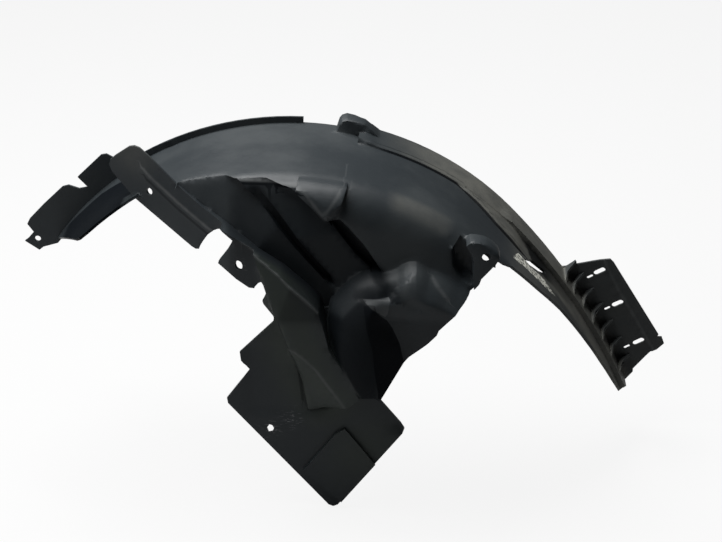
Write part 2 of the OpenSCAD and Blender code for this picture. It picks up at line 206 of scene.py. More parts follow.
class LinerSizes(bpy.types.PropertyGroup):
    cell: FloatProperty(
        name="Cell", description="Size of the cells that carry the soft folds",
        default=0.0065, min=0.004, max=0.02, subtype="DISTANCE", unit="LENGTH")
    rounding: FloatProperty(
        name="Rounding", description="How far from a moulded fold its rounding reaches",
        default=0.0032, min=0.0005, max=0.008, subtype="DISTANCE", unit="LENGTH")
    bead: FloatProperty(
        name="Bead", description="Height of the bead along the front flange",
        default=0.0016, min=0.0, max=0.004, subtype="DISTANCE", unit="LENGTH")
    lip_drop: FloatProperty(
        name="Lip drop", description="How far the bracket's lip falls back",
        default=0.002, min=0.0, max=0.0025, subtype="DISTANCE", unit="LENGTH")
    edge: FloatProperty(
        name="Edge", description="Rounding of the cut edges",
        default=0.0004, min=0.0001, max=0.001, subtype="DISTANCE", unit="LENGTH")


class LinerColours(bpy.types.PropertyGroup):
    plastic: FloatVectorProperty(
        name="Plastic", description="The moulded black plastic",
        subtype="COLOR", size=3, default=(0.0150, 0.0185, 0.0210), min=0, max=1)
    worn: FloatVectorProperty(
        name="Worn plastic", description="Plastic that has gone grey",
        subtype="COLOR", size=3, default=(0.0230, 0.0270, 0.0290), min=0, max=1)
    dust: FloatVectorProperty(
        name="Dust", description="Road dust that has settled on the outside",
        subtype="COLOR", size=3, default=(0.082, 0.082, 0.073), min=0, max=1)
    algae: FloatVectorProperty(
        name="Green film", description="The greenish film on the strut",
        subtype="COLOR", size=3, default=(0.0235, 0.0290, 0.0250), min=0, max=1)
    # Painted shade: the dark colour painted into the creases, grooves, recess, band and panel
    painted_shade: FloatVectorProperty(
        name="Soil", description="Dark soil in the creases and the recess",
        subtype="COLOR", size=3, default=(0.0020, 0.0026, 0.0036), min=0, max=1)
    # Painted highlight on the strip of the right arm, broken into flakes
    strip_highlight: FloatVectorProperty(
        name="Bare patch", description="The pale flaked strip on the right arm",
        subtype="COLOR", size=3, default=(0.55, 0.55, 0.49), min=0, max=1)
    # Painted highlights along the folds' crests and on the facet
    crest: FloatVectorProperty(
        name="Worn crests", description="The light lines along the folds' crests",
        subtype="COLOR", size=3, default=(0.070, 0.074, 0.075), min=0, max=1)
    scuff: FloatVectorProperty(
        name="Scuffs", description="Light scuffs round the fixing holes",
        subtype="COLOR", size=3, default=(0.16, 0.165, 0.17), min=0, max=1)


class StudioSizes(bpy.types.PropertyGroup):
    key: FloatProperty(
        name="Key light", description="Power of the large lamp above and behind the arch",
        default=80.0, min=0, max=400, unit="POWER")
    fill: FloatProperty(
        name="Fill light", description="Power of the lamp at the front left",
        default=6.5, min=0, max=400, unit="POWER")
    sky: FloatProperty(
        name="Surroundings", description="Level of the light from all sides",
        default=0.06, min=0, max=2)
    floor: FloatProperty(
        name="Floor", description="How pale the floor is", default=0.4, min=0, max=1,
        subtype="FACTOR")


def about_wheel(co):
    """Row frame in metres to x, depth and z about the wheel's axis, in millimetres."""
    rel = (co - WHEEL) * 1000.0
    return rel[:, 0], -rel[:, 1], rel[:, 2]


def polar(x, z):
    """The angle from the top of the arch, to the right, in degrees, and the radius."""
    return np.degrees(np.arctan2(x, z)), np.hypot(x, z)


def above_arm(x, z):
    """How far each place stands out past the right arm's outer radius."""
    return np.hypot(x - ARM[0], z - ARM[1]) - ARM[2]


def ease(t):
    """A smooth step from 0 at 0 to 1 at 1."""
    t = np.clip(t, 0.0, 1.0)
    return t * t * (3.0 - 2.0 * t)


def rise(value, start, width):
    """0 up to the start, and smoothly to 1 over the width after it."""
    return ease((value - start) / width)


def fall(value, end, width):
    """0 from the end on, and smoothly from 1 over the width before it."""
    return ease((end - value) / width)


def fade(distance, width, flat=1.0):
    """1 near 0, and smoothly to 0 at the distance of width times flat."""
    return ease(flat - distance / width)


def follow(values, line):
    """The second number of a line's points, at values of the first."""
    return np.interp(values, *zip(*line))


def x_at(z, line):
    """The x of a line that runs downwards, at each z."""
    return np.interp(-z, [-p[1] for p in line], [p[0] for p in line])


def band_share(x, z):
    """The dark band's left and right x, and how far across it each place is."""
    left, right = x_at(z, BAND_LEFT), x_at(z, BAND_RIGHT)
    return left, right, np.clip((x - left) / np.maximum(right - left, 1.0), 0, 1)


def near_line(x, z, line):
    """Distance of each place from a line, and the same with a sign, positive on its left."""
    best = np.full(len(x), 1e9)
    signed = np.zeros(len(x))
    for (ax, az), (bx, bz) in zip(line, line[1:]):
        dx, dz = bx - ax, bz - az
        length = math.hypot(dx, dz)
        t = np.clip(((x - ax) * dx + (z - az) * dz) / length ** 2, 0, 1)
        d = np.hypot(x - ax - t * dx, z - az - t * dz)
        side = ((z - az) * dx - (x - ax) * dz) / length
        near = d < best
        best = np.where(near, d, best)
        signed = np.where(near, np.sign(side) * d, signed)
    return best, signed


def from_line(x, z, line):
    return near_line(x, z, line)[0]


def side_of(x, z, line):
    return near_line(x, z, line)[1]


def spot(x, z, centre, radius):
    return fade(np.hypot(x - centre[0], z - centre[1]), radius)


def merged_copy(node):
    """A copy of a CAD node's mesh as a bmesh, its corners merged and its flat faces whole."""
    bm = bmesh.new()
    bm.from_mesh(node.data)
    bmesh.ops.remove_doubles(bm, verts=bm.verts, dist=1e-6)
    bmesh.ops.dissolve_limit(
        bm, angle_limit=math.radians(0.3), use_dissolve_boundaries=False,
        verts=bm.verts, edges=bm.edges, delimit=set())
    return bm


def cut_into_cells(bm, cell):
    lo, hi = CAD_BOX
    for axis in range(3):
        normal = [0.0, 0.0, 0.0]
        normal[axis] = 1.0
        count = int((hi[axis] - lo[axis]) / cell)
        for i in range(1, count):
            place = [0.0, 0.0, 0.0]
            place[axis] = lo[axis] + (hi[axis] - lo[axis]) * i / count
            bmesh.ops.bisect_plane(
                bm, geom=bm.verts[:] + bm.edges[:] + bm.faces[:], dist=1e-5,
                plane_co=place, plane_no=normal)


def cut_line(bm, points, through, least_depth):
    """Cuts the cells near a line of points by planes that hold the line.

    The planes run along the direction through, or away from the wheel's axis if it is None."""
    for a, b in zip(points, points[1:]):
        a, b = Vector(a), Vector(b)
        middle = (a + b) / 2
        way = through if through is not None else Vector(
            (middle.x - WHEEL[0], 0.0, middle.z - WHEEL[2]))
        normal = (b - a).cross(way).normalized()
        along = (b - a).normalized()
        half = (b - a).length / 2
        near = []
        for face in bm.faces:
            rel = face.calc_center_median() - middle
            if (WHEEL[1] - middle.y - rel.y) * 1000.0 < least_depth:
                continue
            beside = abs(rel.dot(normal)) < CUT_REACH
            if beside and abs(rel.dot(along)) < half + CUT_REACH / 2:
                near.append(face)
        geom = list({e for f in near for e in f.edges}) + list({v for f in near for v in f.verts})
        bmesh.ops.bisect_plane(bm, geom=geom + near, dist=1e-5, plane_co=middle, plane_no=normal)


def in_row(line):
    """A line of x and z in millimetres about the wheel's axis, as points in the row frame."""
    return [(WHEEL[0] + x / 1000.0, 0.0, WHEEL[2] + z / 1000.0) for x, z in line]


def on_arch(line):
    """A line of angles and depths on the arch, as points in the row frame."""
    return [(WHEEL[0] + ARCH_R / 1000.0 * math.sin(math.radians(a)), WHEEL[1] - d / 1000.0,
             WHEEL[2] + ARCH_R / 1000.0 * math.cos(math.radians(a))) for a, d in line]


def fine_mesh(node, cell):
    """The CAD node's mesh in small triangles, with edges along the folds to come."""
    bm = merged_copy(node)
    cut_into_cells(bm, cell)
    for line, least in CUT_LINES:
        cut_line(bm, in_row(line), Vector((0, 1, 0)), least)
    for shift in RAIL_CUTS:
        cut_line(bm, on_arch([(a, d + shift) for a, d in RAIL_EDGE]), None, 0)
    bmesh.ops.remove_doubles(bm, verts=bm.verts, dist=MERGE)
    bmesh.ops.triangulate(bm, faces=bm.faces, quad_method="SHORT_EDGE")
    bm.verts.index_update()
    bm.faces.index_update()
    bm.normal_update()
    return bm


def press_wall(x, depth, z):
    """Shapes the bulge's foot, and presses in its folds and the strut's lower facet."""
    dx, dz = x - BULGE[0], z - BULGE[1]
    r = np.hypot(dx, dz)
    foot = follow(np.degrees(np.arctan2(dx, dz)), BULGE_FOOT)
    reach = rise(r, 45, 35) * fall(r, 128, 26) * rise(depth, 165, 10)
    reach *= rise(np.hypot(x, z), 150, 20) * fall(np.hypot(x, z), 318, 14)
    grow = 1.0 + (foot / BULGE_R - 1.0) * reach
    x = BULGE[0] + dx * grow
    z = BULGE[1] + dz * grow

    bulge = (r < 100) & (depth > ARCH_DEPTH - 4)
    # The fold is deepest along its crest line, and runs out below at its foot
    ends = rise(x, 70, 26) * fall(x, 156, 24)
    height = follow(x, FOLD_FOOT)
    crest = follow(x, FOLD_LINE)
    below = np.clip((z - height) / np.maximum(crest - height, 1.0), 0, 1)
    above = fade(side_of(x, z, FOLD_LINE), FOLD_REACH)
    drop = FOLD_DROP * np.where(z > crest, above, below) * ends * bulge
    # The dark band beside the panel
    band = band_share(x, z)[2]
    drop += BAND_DROP * bulge * band * rise(x, 84, 8) * fall(z, 204, 22) * fall(x, 158, 34)
    # The facet over the fold, and the second fold
    d, left = near_line(x, z, FACET_LINE)
    facet = fade(left, FACET_REACH) * (left > -0.3) * (z > crest)
    drop += bulge * FACET_DROP * facet * fade(d, FACET_REACH, 1.3)
    d, left = near_line(x, z, SECOND_FOLD)
    second = fade(abs(left), SECOND_REACH) * (left < 0.3)
    drop += bulge * SECOND_DROP * second * fade(d, SECOND_REACH, 1.3)
    # Left of the strut's ridge its face slopes down to the plate
    left = -side_of(x, z, STRUT_RIDGE)
    strut = (x > -40) & (x < 72) & (z > 74) & (z < 166) & (depth > PLATE_DEPTH - 4)
    slope = np.clip(left / STRUT_REACH, 0, 1) * fall(z, 163, 14)
    drop += strut * STRUT_DROP * slope * rise(depth, PLATE_DEPTH - 2, 9)
    return x, depth - drop, z


def press_arm(x, depth, z, normals):
    """Tilts the rail's top, raises its plateau, presses its crease and lowers the ribs."""
    turn, radius = polar(x, z)
    outward = (normals[:, 0] * x + normals[:, 2] * z) / radius
    outer = (outward > 0.3) | ((outward > -0.3) & (normals[:, 1] < 0))
    base = np.where(outer, ARCH_R, ARCH_R - WALL)
    share = np.clip((radius - base) / RAIL_HEIGHT, 0, 1)
    rail = (turn > 14) & (turn < 46.2) & (depth < RAIL_DEPTH + 3) & (radius < 341)
    ends = rise(turn, 14, 3) * fall(turn, 46.2, 3)
    move = -RAIL_TILT * rail * ends * share * np.clip(depth / RAIL_DEPTH, 0, 1)
    edge = follow(turn, RAIL_EDGE)
    skin = (turn < 51) & (radius > 328) & (radius < 336)
    flat = rise(turn, 33, 3) * fall(turn, 51, 4) * np.clip((edge - depth) / 5.0, 0, 1)
    move += PLATEAU_RISE * (skin & (turn > 33) & (depth > RAIL_DEPTH - 4)) * flat
    crease = (skin & (turn > 34)) * np.clip(1 - abs(depth - edge) / CREASE_REACH, 0, 1)
    move -= CREASE_DROP * crease * fall(turn, 51, 2) * rise(turn, 34, 2)

    rib = (turn > 50) & (x > 280) & (depth > RIB_START)
    loss = RIB_LOSS * (depth - RIB_START) * rise(above_arm(x, z), 0.4, 5)
    depth = np.where(rib, depth - loss, depth)
    return x * (1 + move / radius), depth, z * (1 + move / radius)


def press_folds(co, normals):
    """Presses the shallow folds of the wall and of the right arm into the sheet."""
    x, depth, z = press_wall(*about_wheel(co))
    x, depth, z = press_arm(x, depth, z, normals)
    return np.column_stack([x, -depth, z]) / 1000.0 + WHEEL


def crispness(co):
    """How much of the full rounding each place gets, from 0 to 1."""
    x, depth, z = about_wheel(co)
    soft = np.ones(len(x))
    for line, width, least in CRISP_LINES:
        share = 0.12 + 0.88 * ease(from_line(x, z, line) / width - 0.4)
        soft = np.where(depth > least, np.minimum(soft, share), soft)
    turn, _ = polar(x, z)
    crisp = ((turn > 15) & (depth < 95)) | (x > 300)
    return np.where((depth < 14) & (turn < 12), 0.0, np.where(crisp, 0.1, soft))


def skin_faces(bm):
    """True for each face of the moulded skin, False for one on a cut edge.

    The faces are taken in patches that no sharp edge crosses. A patch is a cut edge
    where it is narrow and most of it has no other side of the sheet close behind it."""
    tree = BVHTree.FromBMesh(bm)
    patch = np.full(len(bm.faces), -1)
    skin = np.zeros(len(bm.faces), bool)
    for first in bm.faces:
        if patch[first.index] >= 0:
            continue
        patch[first.index] = first.index
        members, waiting = [], [first]
        thin = whole = border = 0.0
        while waiting:
            face = waiting.pop()
            members.append(face.index)
            inwards = -face.normal
            middle = face.calc_center_median()
            hit = tree.ray_cast(middle + inwards * 1e-4, inwards, SHEET_REACH)
            area = face.calc_area()
            whole += area
            if hit[0] is not None and hit[1].dot(inwards) > 0.3:
                thin += area
            for edge in face.edges:
                if edge.calc_face_angle(math.pi) > PATCH_TURN:
                    border += edge.calc_length()
                    continue
                for near in edge.link_faces:
                    if patch[near.index] < 0:
                        patch[near.index] = first.index
                        waiting.append(near)
        skin[members] = thin > 0.5 * whole or 2.0 * whole > EDGE_WIDTH * border
    return skin


def round_folds(co, corners, free, reach):
    """Rounds the folds of a triangle mesh, as a slow flow towards a smoother surface.

    reach is in square metres for each corner. Corners that aren't free keep their place,
    and a flat stretch keeps its shape whatever its triangles are."""
    ends, weights = [], []
    mass = np.zeros(len(co))
    for a, b, c in ((0, 1, 2), (1, 2, 0), (2, 0, 1)):
        u = co[corners[:, a]] - co[corners[:, c]]
        v = co[corners[:, b]] - co[corners[:, c]]
        twice_area = np.maximum(np.linalg.norm(np.cross(u, v), axis=1), 1e-9)
        ends.append(corners[:, [a, b]])
        weights.append(0.5 * (u * v).sum(axis=1) / twice_area)
        mass += np.bincount(corners[:, c], twice_area / 6.0, len(co))
    ends = np.concatenate(ends)
    weights = np.concatenate(weights)
    a, b = ends[:, 0], ends[:, 1]
    weights = weights * (reach[a] + reach[b]) / 2

    def stiffness(field):
        out = np.empty_like(field)
        for k in range(3):
            flow = weights * (field[a, k] - field[b, k])
            out[:, k] = np.bincount(a, flow, len(co)) - np.bincount(b, flow, len(co))
        return out

    free = free[:, None]
    stiff_own = np.bincount(a, weights, len(co)) + np.bincount(b, weights, len(co))
    own = (mass + np.maximum(stiff_own, 0.0))[:, None]
    left = -stiffness(co) * free
    moved = np.zeros_like(co)
    ready = left / own
    course = ready.copy()
    gain = (left * ready).sum()
    for _ in range(ROUNDS):
        push = (mass[:, None] * course + stiffness(course)) * free
        step = gain / (course * push).sum()
        moved += step * course
        left -= step * push
        ready = left / own
        if np.abs(ready).max() < SETTLED:
            break
        gain, old = (left * ready).sum(), gain
        course = ready + course * (gain / old)
    return co + moved


def corners_of(bm):
    return np.array([v.co[:] for v in bm.verts])


def normals_of(bm):
    return np.array([v.normal[:] for v in bm.verts])


def put_corners(bm, co):
    for v, place in zip(bm.verts, co):
        v.co = place
    bm.normal_update()


def raise_bead_and_lip(co, normals, sizes):
    """Raises the bead along the front flange and lets the bracket's lip fall back."""
    x, depth, z = about_wheel(co)
    bead = sizes.bead * fade(from_line(x, z, FLANGE_BEAD), 7)
    co[:, 1] -= np.where(normals[:, 1] < -0.3, bead, 0.0)
    lip = sizes.lip_drop * fade(from_line(x, z, LIP_LINE), 7)
    plate = (x > 330) & (depth < 3.5) & (x <= x_at(z, LIP_LINE))
    co[:, 1] -= np.where(plate, lip, 0.0)
    return np.clip(co, CAD_BOX[0], CAD_BOX[1])


class LINER_OT_moulding(bpy.types.Operator):
    """Makes the moulding, with its soft folds, bead, lip, worn places and painted shade and
    highlights
    """
    bl_idname = "liner.moulding"
    bl_label = "Moulding"

    def execute(self, context):
        sizes = context.scene.liner_sizes
        bm = fine_mesh(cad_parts["liner"], sizes.cell)
        skin = skin_faces(bm)
        free = np.array([all(skin[f.index] for f in v.link_faces) for v in bm.verts], float)
        corners = np.array([[v.index for v in f.verts] for f in bm.faces])
        co = corners_of(bm)
        reach = sizes.rounding ** 2 * crispness(co)
        co = round_folds(press_folds(co, normals_of(bm)), corners, free, reach)
        put_corners(bm, co)
        normals = normals_of(bm)
        co = raise_bead_and_lip(co, normals, sizes)
        put_corners(bm, co)

        weight = bm.edges.layers.float.new("bevel_weight_edge")
        for edge in bm.edges:
            edge.smooth = edge.calc_face_angle(math.pi) < SHARP_TURN
            sides = [skin[f.index] for f in edge.link_faces]
            edge[weight] = float(any(sides) and not all(sides))
        for face in bm.faces:
            face.smooth = True
        mesh = bpy.data.meshes.new("moulding")
        bm.to_mesh(mesh)
        bm.free()
        store_marks_and_painted_light(mesh, co, normals)
        piece = bpy.data.objects.new("moulding", mesh)
        context.scene.collection.objects.link(piece)
        edge = piece.modifiers.new("cut edges", "BEVEL")
        edge.width = sizes.edge
        edge.segments = 2
        edge.limit_method = "WEIGHT"
        edge.use_clamp_overlap = True
        edge.harden_normals = True
        mesh.materials.clear()
        mesh.materials.append(moulded_plastic(context.scene.liner_colours))
        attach(piece, "root")
        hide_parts("liner")
        return {"FINISHED"}


def level(distance):
    """A signed distance in millimetres as a level from 0 to 1, 0.5 at the line."""
    return np.clip(0.5 + distance / 20.0, 0.0, 1.0)


def level_inside(distances, where):
    """The level of the least of the distances, and 0 outside the given places."""
    return np.where(where, level(np.minimum.reduce(distances)), 0.0)


def dust_mask(x, depth, z):
    """Road dust on the outer side, on the bracket and as a smear, and a lighter spot in the dust
    colour on the flange's nose.
    """
    angle, radius = polar(x, z)
    bracket = rise(above_arm(x, z), 1, 3)
    outside = fall(depth, follow(angle, RAIL_EDGE) + 3, 6) + 0.35 * rise(angle, 44, 5)
    dust = rise(radius, 322, 8) * rise(angle, 13, 24) * np.clip(outside, 0, 1) * (1 - bracket)
    dust += 0.21 * bracket * (x > 280)
    smear = fade(from_line(x, z, SMEAR_LINE), 14, 1.1) * fade(abs(depth - 167), 14, 1.4)
    dust = np.maximum(dust, 0.4 * smear)
    # A lighter spot on the top of the flange's nose, in the dust colour
    return np.maximum(dust, 0.4 * spot(x, z, NOSE_SPOT, 44) * (depth > 90))


def green_mask(x, depth, z):
    """The greenish film along the strut and on the lower pad."""
    green = fade(from_line(x, z, STRUT_LINE), 42, 1.25) * rise(depth, 190, 6)
    return np.maximum(green, 0.8 * spot(x, z, GREEN_PAD, 75) * (depth > 190))


def scuff_mask(x, z):
    """Scuffs round the torn hole, beside it and round the main hole."""
    scuff = np.maximum(spot(x, z, TORN_HOLE, 16), spot(x, z, SCRATCHES, 17))
    return np.maximum(scuff, 0.8 * spot(x, z, MAIN_HOLE, 13))


def painted_shade_mask(x, depth, z):
    """Painted shade in the recess's grooves, in the recess, on the bulge and beside the rail."""
    angle, radius = polar(x, z)
    groove = np.minimum(*(from_line(x, z, line) for line in GROOVE_LINES))
    grooves = 0.8 * fade(groove, 10, 1.2) * fall(radius, 328, 6) * (depth > 120)
    recess = rise(x, -62, 10) * fall(x, 122, 20) * fall(side_of(x, z, GROOVE_LINES[1]), 4, 9)
    recess *= rise(z, 184, 10) * fall(radius, 322, 10) * (depth > 120)
    recess *= 0.45 * (1 - rise(z + 0.3 * x, 322, 8))

    across, up = x - BULGE[0], z - BULGE[1]
    share = np.hypot(across, up) / follow(np.degrees(np.arctan2(across, up)), BULGE_FOOT)
    above = side_of(x, z, FOLD_LINE)
    bulge = fall(share, 1.06, 0.08) * rise(z, 96, 5) * rise(x, x_at(z, STRUT_SIDE), 4)
    bulge *= depth > 192
    low = fall(z, 203, 14)
    left_side = 0.85 * fall(x, 112, 16) * np.maximum(fall(share, 0.9, 0.08), low)
    right_side = 0.35 * rise(x, 92, 12) * low
    fold = 0.75 * (above > -2) * fade(above, 15, 1.35) * rise(x, 62, 14) * fall(x, 134, 14)
    bulge *= np.maximum.reduce([left_side, right_side, fold])

    shade = fall(depth, follow(angle, SHADE_EDGE) + 1, 6) * rise(depth, 42, 4)
    shade *= rise(angle, 49, 3) * 0.5 * (fall(angle, 67, 5) + fall(angle, 61, 5))
    shade *= fall(above_arm(x, z), -2, 3) * (x > 240)
    return np.maximum.reduce([grooves, recess, bulge, shade])


def nearest_line(x, depth, z, lines):
    """Signed distance from the nearest of the lines, and how strong that line is there."""
    best = np.full(len(x), 1e9)
    signed = np.full(len(x), 10.0)
    strength = np.zeros(len(x))
    for line, full, least, most in lines:
        d, side = near_line(x, z, line)
        near = (d < best) & (depth > least) & (depth < most)
        best = np.where(near, d, best)
        signed = np.where(near, side, signed)
        strength = np.where(near, full * fall(d, 11, 4), strength)
    return signed, strength


def line_levels(x, depth, z, normals):
    """Levels about the lines of painted highlight and the dark lines, each with its strength; the
    dark lines are painted shade, besides one seam.
    """
    angle, radius = polar(x, z)
    # The rail's crease, a line of painted shade, in millimetres along the arch and in depth
    turned = ARCH_R * np.radians(angle)
    crease = [(ARCH_R * math.radians(a), d + 0.5 - 1.8 * (a > 33)) for a, d in RAIL_EDGE]
    d, crease_side = near_line(turned, depth, crease)
    on_rail = (radius > 328) & (radius < 342) & (d < 9)
    light, light_strength = nearest_line(x, depth, z, LIGHT_LINES)
    dark, dark_strength = nearest_line(x, depth, z, DARK_LINES)
    # The lines lie on faces towards the outside, and on the boss whichever way it faces
    boss = (x > 20) & (x < 75) & (z > 290)
    facing = np.maximum(rise(-normals[:, 1], 0.05, 0.2), boss)
    dark = np.where(on_rail, crease_side, dark)
    dark_strength = np.where(on_rail, rise(angle, 14, 5), dark_strength * facing)
    return level(light), light_strength * facing, level(dark), dark_strength


def area_levels(x, depth, z, normals):
    """Levels of the areas painted with shade, the arm's panel and the band, and with highlight,
    the strip and the facet.
    """
    angle, radius = polar(x, z)
    panel = level(depth - follow(angle, PANEL_EDGE))
    left, right, _ = band_share(x, z)
    band = level_inside([x - left, right - x, 211 - z, z - 105], depth > 185)
    ends = np.minimum(angle - 47, 59.5 - angle) * DEGREE
    strip = level_inside(
        [depth - follow(angle, STRIP_UPPER), follow(angle, STRIP_LOWER) - depth, ends],
        (radius > 320) & (normals[:, 0] > 0))
    sides = [-side_of(x, z, FACET[i:i + 2]) for i in range(3)]
    facet = level_inside(sides, (depth > 185) & (from_line(x, z, FACET) < 14))
    return panel, band, strip, facet


def panel_mask(x, depth, z):
    """How strong the painted shade on the left arm's panel is, behind the front flange and on the
    arm.
    """
    angle, radius = polar(x, z)
    behind_flange = depth < 94 + 0.577 * (x + 184)
    mask = rise(angle, -53, 4) * fall(angle, -24, 6)
    return mask * ((radius < 338) & ((x < -176) | behind_flange))


def store_marks_and_painted_light(mesh, co, normals):
    """Stores where the dust, the green film, the scuffs, the painted shade, and the lines and
    areas, mostly painted shade and highlights, lie.
    """
    x, depth, z = about_wheel(co)
    for name, values in (
            ("marks_and_shade", (dust_mask(x, depth, z), green_mask(x, depth, z), scuff_mask(x, z),
                        painted_shade_mask(x, depth, z))),
            ("lines", line_levels(x, depth, z, normals)),
            ("areas", area_levels(x, depth, z, normals))):
        layer = mesh.attributes.new(name, "FLOAT_COLOR", "POINT")
        layer.data.foreach_set("color", np.column_stack(values).astype(np.float32).ravel())
    layer = mesh.attributes.new("panel", "FLOAT", "POINT")
    layer.data.foreach_set("value", panel_mask(x, depth, z).astype(np.float32))


def link(tree, out, into):
    tree.links.new(out, into)


def noise_node(tree, scale, detail, rough, vector):
    node = tree.nodes.new("ShaderNodeTexNoise")
    node.inputs["Scale"].default_value = scale
    node.inputs["Detail"].default_value = detail
    node.inputs["Roughness"].default_value = rough
    link(tree, vector, node.inputs["Vector"])
    return node.outputs["Fac"]


def ramp(tree, value, low, high, to_low=0.0, to_high=1.0):
    """A smooth ramp from to_low at low to to_high at high."""
    node = tree.nodes.new("ShaderNodeMapRange")
    node.interpolation_type = "SMOOTHSTEP"
    node.inputs["From Min"].default_value = low
    node.inputs["From Max"].default_value = high
    node.inputs["To Min"].default_value = to_low
    node.inputs["To Max"].default_value = to_high
    link(tree, value, node.inputs["Value"])
    return node.outputs["Result"]


def maths(tree, kind, *values):
    node = tree.nodes.new("ShaderNodeMath")
    node.operation = kind
    for socket, value in zip(node.inputs, values):
        if isinstance(value, (int, float)):
            socket.default_value = value
        else:
            link(tree, value, socket)
    return node.outputs[0]


def times(tree, a, b):
    return maths(tree, "MULTIPLY", a, b)


def larger(tree, a, b):
    return maths(tree, "MAXIMUM", a, b)


def blend_colour(tree, amount, a, b):
    node = tree.nodes.new("ShaderNodeMix")
    node.data_type = "RGBA"
    link(tree, amount, node.inputs["Factor"])
    for name, value in (("A", a), ("B", b)):
        socket = [s for s in node.inputs if s.name == name and s.type == "RGBA"][0]
        if isinstance(value, bpy.types.NodeSocket):
            link(tree, value, socket)
        else:
            socket.default_value = (*value, 1.0)
    return [s for s in node.outputs if s.type == "RGBA"][0]


def attribute_node(tree, name):
    node = tree.nodes.new("ShaderNodeAttribute")
    node.attribute_name = name
    return node


def stored(tree, name):
    """The four channels of a colour attribute."""
    node = attribute_node(tree, name)
    split = tree.nodes.new("ShaderNodeSeparateColor")
    link(tree, node.outputs["Color"], split.inputs[0])
    return (*split.outputs[:3], node.outputs["Alpha"])


def thin_line(tree, value, core, border):
    """One near the middle level, falling to nothing at the border."""
    away = maths(tree, "ABSOLUTE", maths(tree, "SUBTRACT", value, 0.5))
    return ramp(tree, away, core, border, 1.0, 0.0)


def moulded_plastic(colours):
    """Satin black moulding with grey wear, dust, a green film, painted shade and highlights,
    scuffs and fine grain.
    """
    material = bpy.data.materials.new("moulded plastic")
    material.use_nodes = True
    tree = material.node_tree
    shader = tree.nodes["Principled BSDF"]
    place = tree.nodes.new("ShaderNodeTexCoord").outputs["Object"]
    dust, green, scuff, painted_shade = stored(tree, "marks_and_shade")
    light, light_level, dark, dark_level = stored(tree, "lines")
    panel, band, strip, facet = stored(tree, "areas")
    panel_level = attribute_node(tree, "panel").outputs["Fac"]

    # Plastic with grey clouds, the green film, the dust and specks of it
    clouds = noise_node(tree, CLOUD_SCALE, 5.0, 0.6, place)
    mottle = noise_node(tree, MOTTLE_SCALE, 4.0, 0.6, place)
    specks = noise_node(tree, SPECK_SCALE, 2.0, 0.6, place)
    colour = blend_colour(tree, ramp(tree, clouds, 0.38, 0.72), colours.plastic, colours.worn)
    colour = blend_colour(tree, times(tree, green, ramp(tree, mottle, 0.2, 0.6, 0.6, 1.0)),
                          colour, colours.algae)
    film = times(tree, dust, ramp(tree, mottle, 0.25, 0.7, 0.55, 1.0))
    colour = blend_colour(tree, film, colour, colours.dust)
    flecks = times(tree, ramp(tree, specks, 0.68, 0.76, 0.0, 0.3), ramp(tree, clouds, 0.5, 0.7))
    colour = blend_colour(tree, flecks, colour, colours.dust)

    # Scuffs as slanting streaks, and the strip's painted highlight as flakes
    squeeze = tree.nodes.new("ShaderNodeMapping")
    squeeze.inputs["Rotation"].default_value = (0.0, math.radians(38), 0.0)
    squeeze.inputs["Scale"].default_value = (1.0, 1.0, 7.0)
    link(tree, place, squeeze.inputs["Vector"])
    streaks = noise_node(tree, STREAK_SCALE, 3.0, 0.7, squeeze.outputs["Vector"])
    colour = blend_colour(tree, times(tree, scuff, ramp(tree, streaks, 0.56, 0.66)),
                          colour, colours.scuff)
    flakes = noise_node(tree, FLAKE_SCALE, 3.0, 0.7, place)
    strip_highlight_and_gloss = times(tree, ramp(tree, strip, 0.47, 0.53), ramp(tree, flakes, 0.44, 0.56, 0.12, 1.0))
    colour = blend_colour(tree, strip_highlight_and_gloss, colour, colours.strip_highlight)

    # Painted shade, kept off the light facet, with the band, the panel and the dark lines
    painted_shade = times(tree, painted_shade, ramp(tree, facet, 0.47, 0.52, 1.0, 0.0))
    painted_shade = larger(tree, painted_shade, ramp(tree, band, 0.46, 0.53))
    painted_shade = larger(tree, painted_shade, times(tree, panel_level, ramp(tree, panel, 0.45, 0.55)))
    painted_shade = larger(tree, painted_shade, times(tree, dark_level, thin_line(tree, dark, 0.05, 0.12)))
    colour = blend_colour(tree, times(tree, painted_shade, 0.9), colour, colours.painted_shade)
    # Painted highlights along the crests and on the light facet
    painted_highlights = times(tree, light_level, thin_line(tree, light, 0.0, 0.16))
    painted_highlights = larger(tree, painted_highlights, ramp(tree, facet, 0.47, 0.52, 0.0, 0.3))
    painted_highlights = times(tree, painted_highlights, ramp(tree, mottle, 0.25, 0.6, 0.55, 1.0))
    colour = blend_colour(tree, painted_highlights, colour, colours.crest)
    link(tree, colour, shader.inputs["Base Color"])

    rough = ramp(tree, clouds, 0.3, 0.75, 0.4, 0.56)
    rough = maths(tree, "ADD", rough, times(tree, film, 0.2))
    rough = maths(tree, "SUBTRACT", rough, times(tree, strip_highlight_and_gloss, 0.2))
    link(tree, rough, shader.inputs["Roughness"])
    link(tree, ramp(tree, painted_shade, 0.0, 1.0, 0.2, 0.03), shader.inputs["Specular IOR Level"])

    grain = noise_node(tree, GRAIN_SCALE, 2.0, 0.5, place)
    ripple = noise_node(tree, RIPPLE_SCALE, 3.0, 0.5, place)
    bump = tree.nodes.new("ShaderNodeBump")
    bump.inputs["Strength"].default_value = 0.35
    bump.inputs["Distance"].default_value = 0.0015
    link(tree, maths(tree, "ADD", times(tree, grain, 0.08), ripple), bump.inputs["Height"])
    link(tree, bump.outputs["Normal"], shader.inputs["Normal"])
    return material


